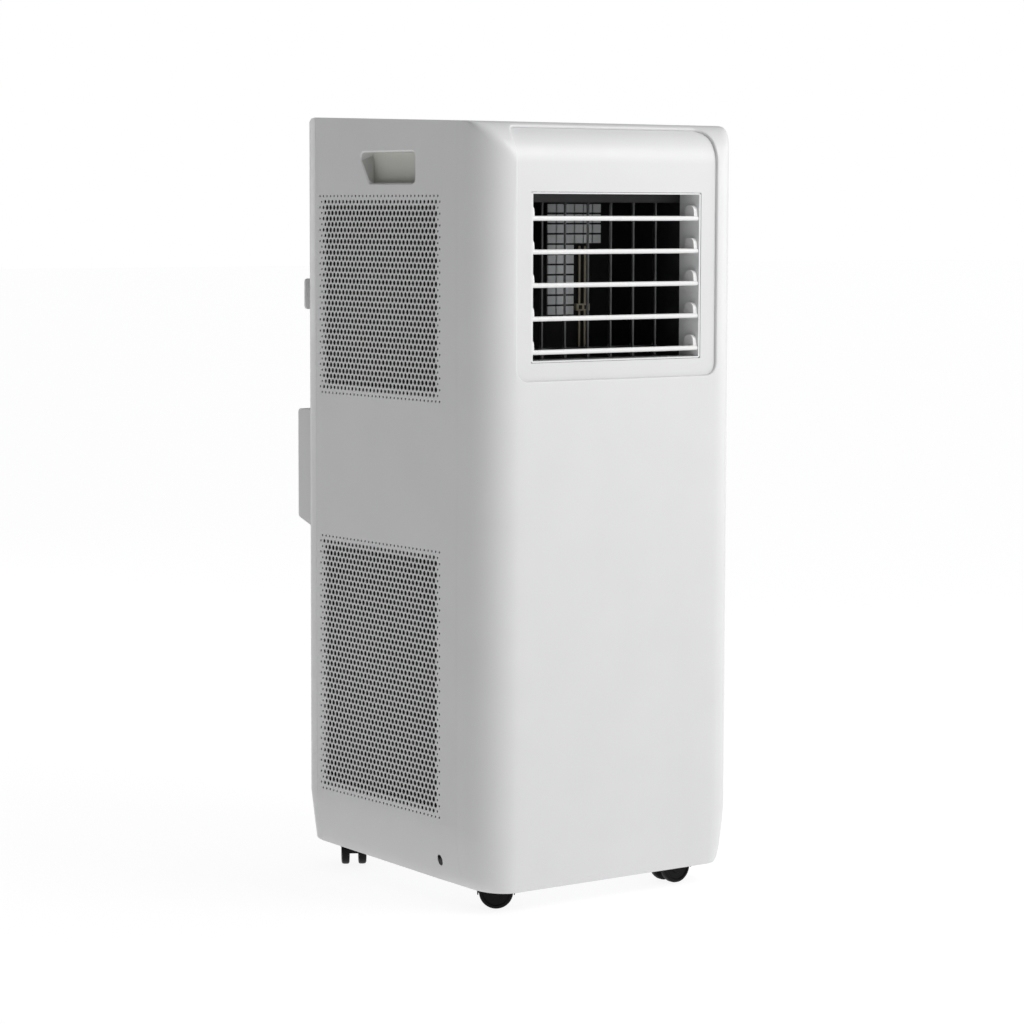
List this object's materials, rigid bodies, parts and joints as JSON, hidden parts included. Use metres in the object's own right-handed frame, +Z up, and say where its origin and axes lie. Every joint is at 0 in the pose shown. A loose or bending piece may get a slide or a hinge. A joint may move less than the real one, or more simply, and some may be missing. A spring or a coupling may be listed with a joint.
{
  "type": "portable air conditioner",
  "caption": "Upright room air conditioner on casters with louvred front outlet, perforated sides, hand pockets and a rear hose collar.",
  "frame": {"origin": "on the floor, under the middle of the product's plan, housing on the back included", "axes": "+Z up, +Y towards the back, +X to the right for a person who stands in front and faces the product"},
  "size_m": [0.32, 0.368, 0.7811],
  "materials": {
    "casing": "white moulded plastic, satin-gloss",
    "pan": "grey moulded plastic",
    "frame": "light grey moulded plastic",
    "louver": "white moulded plastic",
    "vane": "dark grey moulded plastic",
    "duct": "black moulded plastic",
    "foam": "white ribbed inner moulding",
    "panel": "pale grey membrane",
    "display": "smoked window",
    "button": "grey key cap",
    "filter": "dark woven mesh in a frame",
    "fins": "finned coil",
    "copper": "drawn copper tube",
    "enamel": "black enamelled steel",
    "steel": "zinc-plated sheet",
    "rubber": "black moulded rubber",
    "caster": "black nylon"
  },
  "bodies": {
    "casing": {"front_panel": "casing", "outlet_bezel": "casing", "rear_panel": "casing", "top_cover": "casing", "base_pan": "pan", "left_side_panel": "casing", "left_filter": "filter", "cord_hook_left": "casing", "right_side_panel": "casing", "right_filter": "filter", "cord_hook_right": "casing", "control_panel": "panel", "display_window": "display", "louver_frame": "frame", "outlet_duct": "duct", "outlet_guard": "frame", "upper_scroll": "duct", "upper_motor": "steel", "lower_scroll": "duct", "lower_motor": "steel", "evaporator": "fins", "condenser": "fins", "compressor": "enamel", "discharge_pipe": "copper", "suction_pipe": "copper", "drip_tray": "foam", "exhaust_duct": "foam", "exhaust_collar": "casing", "cord_gland": "rubber", "electrical_box": "steel"},
    "rear_filter_cover": {"rear_filter_cover": "casing"},
    "drain_plug": {"drain_plug": "rubber"},
    "upper_blower": {"upper_blower": "duct"},
    "lower_blower": {"lower_blower": "duct"},
    "louver_1": {"louver_1": "louver"},
    "louver_2": {"louver_2": "louver"},
    "louver_3": {"louver_3": "louver"},
    "louver_4": {"louver_4": "louver"},
    "louver_5": {"louver_5": "louver"},
    "louver_link": {"louver_link": "vane"},
    "vane_1": {"vane_1": "vane"},
    "vane_2": {"vane_2": "vane"},
    "vane_3": {"vane_3": "vane"},
    "vane_4": {"vane_4": "vane"},
    "vane_5": {"vane_5": "vane"},
    "vane_6": {"vane_6": "vane"},
    "vane_7": {"vane_7": "vane"},
    "vane_link": {"vane_link": "vane"},
    "button_power": {"button_power": "button"},
    "button_mode": {"button_mode": "button"},
    "button_down": {"button_down": "button"},
    "button_up": {"button_up": "button"},
    "caster_front_left": {"caster_front_left": "caster"},
    "wheel_front_left": {"wheel_front_left": "caster"},
    "caster_front_right": {"caster_front_right": "caster"},
    "wheel_front_right": {"wheel_front_right": "caster"},
    "caster_rear_left": {"caster_rear_left": "caster"},
    "wheel_rear_left": {"wheel_rear_left": "caster"},
    "caster_rear_right": {"caster_rear_right": "caster"},
    "wheel_rear_right": {"wheel_rear_right": "caster"}
  },
  "joints": [
    {"name": "louver_1_tilt", "type": "hinge", "parent": "casing", "child": "louver_1", "pos_m": [0, -0.171, 0.5575], "axis": [1, 0, 0], "range_deg": [-15, 45]},
    {"name": "louver_2_tilt", "type": "hinge", "parent": "casing", "child": "louver_2", "pos_m": [0, -0.171, 0.5899], "axis": [1, 0, 0], "range_deg": [-15, 45]},
    {"name": "louver_3_tilt", "type": "hinge", "parent": "casing", "child": "louver_3", "pos_m": [0, -0.171, 0.6223], "axis": [1, 0, 0], "range_deg": [-15, 45]},
    {"name": "louver_4_tilt", "type": "hinge", "parent": "casing", "child": "louver_4", "pos_m": [0, -0.171, 0.6547], "axis": [1, 0, 0], "range_deg": [-15, 45]},
    {"name": "louver_5_tilt", "type": "hinge", "parent": "casing", "child": "louver_5", "pos_m": [0, -0.171, 0.6871], "axis": [1, 0, 0], "range_deg": [-15, 45]},
    {"name": "louver_link_pin", "type": "hinge", "parent": "louver_1", "child": "louver_link", "pos_m": [-0.0996, -0.159, 0.5485], "axis": [1, 0, 0], "range_deg": [-45, 15]},
    {"name": "vane_1_swing", "type": "hinge", "parent": "casing", "child": "vane_1", "pos_m": [-0.0842, -0.13, 0.617], "axis": [0, 0, 1], "range_deg": [-5, 65]},
    {"name": "vane_2_swing", "type": "hinge", "parent": "casing", "child": "vane_2", "pos_m": [-0.0554, -0.13, 0.617], "axis": [0, 0, 1], "range_deg": [-5, 65]},
    {"name": "vane_3_swing", "type": "hinge", "parent": "casing", "child": "vane_3", "pos_m": [-0.0266, -0.13, 0.617], "axis": [0, 0, 1], "range_deg": [-5, 65]},
    {"name": "vane_4_swing", "type": "hinge", "parent": "casing", "child": "vane_4", "pos_m": [0.0022, -0.13, 0.617], "axis": [0, 0, 1], "range_deg": [-5, 65]},
    {"name": "vane_5_swing", "type": "hinge", "parent": "casing", "child": "vane_5", "pos_m": [0.031, -0.13, 0.617], "axis": [0, 0, 1], "range_deg": [-5, 65]},
    {"name": "vane_6_swing", "type": "hinge", "parent": "casing", "child": "vane_6", "pos_m": [0.0598, -0.13, 0.617], "axis": [0, 0, 1], "range_deg": [-5, 65]},
    {"name": "vane_7_swing", "type": "hinge", "parent": "casing", "child": "vane_7", "pos_m": [0.0886, -0.13, 0.617], "axis": [0, 0, 1], "range_deg": [-5, 65]},
    {"name": "vane_link_pin", "type": "hinge", "parent": "vane_1", "child": "vane_link", "pos_m": [-0.07359, -0.11485, 0.549], "axis": [0, 0, 1], "range_deg": [-65, 5]},
    {"name": "upper_blower_spin", "type": "hinge", "parent": "casing", "child": "upper_blower", "pos_m": [0, -0.069, 0.468], "axis": [0, 1, 0], "continuous": true},
    {"name": "lower_blower_spin", "type": "hinge", "parent": "casing", "child": "lower_blower", "pos_m": [-0.065, -0.004, 0.212], "axis": [1, 0, 0], "continuous": true},
    {"name": "button_power_press", "type": "slide", "parent": "casing", "child": "button_power", "axis": [0, -0.031, 0.9995], "range_m": [-0.001, 0], "stiffness_N_per_m": 400},
    {"name": "button_mode_press", "type": "slide", "parent": "casing", "child": "button_mode", "axis": [0, -0.031, 0.9995], "range_m": [-0.001, 0], "stiffness_N_per_m": 400},
    {"name": "button_down_press", "type": "slide", "parent": "casing", "child": "button_down", "axis": [0, -0.031, 0.9995], "range_m": [-0.001, 0], "stiffness_N_per_m": 400},
    {"name": "button_up_press", "type": "slide", "parent": "casing", "child": "button_up", "axis": [0, -0.031, 0.9995], "range_m": [-0.001, 0], "stiffness_N_per_m": 400},
    {"name": "rear_filter_cover_pull", "type": "slide", "parent": "casing", "child": "rear_filter_cover", "axis": [0, 1, 0], "range_m": [0, 0.06]},
    {"name": "drain_plug_pull", "type": "slide", "parent": "casing", "child": "drain_plug", "axis": [0, 1, 0], "range_m": [0, 0.03]},
    {"name": "caster_front_left_swivel", "type": "hinge", "parent": "casing", "child": "caster_front_left", "pos_m": [-0.11, -0.144, 0.042], "axis": [0, 0, 1], "continuous": true},
    {"name": "wheel_front_left_roll", "type": "hinge", "parent": "caster_front_left", "child": "wheel_front_left", "pos_m": [-0.11639, -0.13919, 0.017], "axis": [0.6018, 0.7986, 0], "continuous": true},
    {"name": "caster_front_right_swivel", "type": "hinge", "parent": "casing", "child": "caster_front_right", "pos_m": [0.11, -0.144, 0.042], "axis": [0, 0, 1], "continuous": true},
    {"name": "wheel_front_right_roll", "type": "hinge", "parent": "caster_front_right", "child": "wheel_front_right", "pos_m": [0.102, -0.144, 0.017], "axis": [0, 1, 0], "continuous": true},
    {"name": "caster_rear_left_swivel", "type": "hinge", "parent": "casing", "child": "caster_rear_left", "pos_m": [-0.116, 0.113, 0.042], "axis": [0, 0, 1], "continuous": true},
    {"name": "wheel_rear_left_roll", "type": "hinge", "parent": "caster_rear_left", "child": "wheel_rear_left", "pos_m": [-0.11176, 0.11978, 0.017], "axis": [0.848, -0.5299, 0], "continuous": true},
    {"name": "caster_rear_right_swivel", "type": "hinge", "parent": "casing", "child": "caster_rear_right", "pos_m": [0.116, 0.113, 0.042], "axis": [0, 0, 1], "continuous": true},
    {"name": "wheel_rear_right_roll", "type": "hinge", "parent": "caster_rear_right", "child": "wheel_rear_right", "pos_m": [0.112, 0.11993, 0.017], "axis": [0.866, 0.5, 0], "continuous": true}
  ],
  "couplings": [
    {"joint": "louver_2_tilt", "follows": "louver_1_tilt", "ratio": 1},
    {"joint": "louver_3_tilt", "follows": "louver_1_tilt", "ratio": 1},
    {"joint": "louver_4_tilt", "follows": "louver_1_tilt", "ratio": 1},
    {"joint": "louver_5_tilt", "follows": "louver_1_tilt", "ratio": 1},
    {"joint": "louver_link_pin", "follows": "louver_1_tilt", "ratio": -1},
    {"joint": "vane_2_swing", "follows": "vane_1_swing", "ratio": 1},
    {"joint": "vane_3_swing", "follows": "vane_1_swing", "ratio": 1},
    {"joint": "vane_4_swing", "follows": "vane_1_swing", "ratio": 1},
    {"joint": "vane_5_swing", "follows": "vane_1_swing", "ratio": 1},
    {"joint": "vane_6_swing", "follows": "vane_1_swing", "ratio": 1},
    {"joint": "vane_7_swing", "follows": "vane_1_swing", "ratio": 1},
    {"joint": "vane_link_pin", "follows": "vane_1_swing", "ratio": -1}
  ]
}
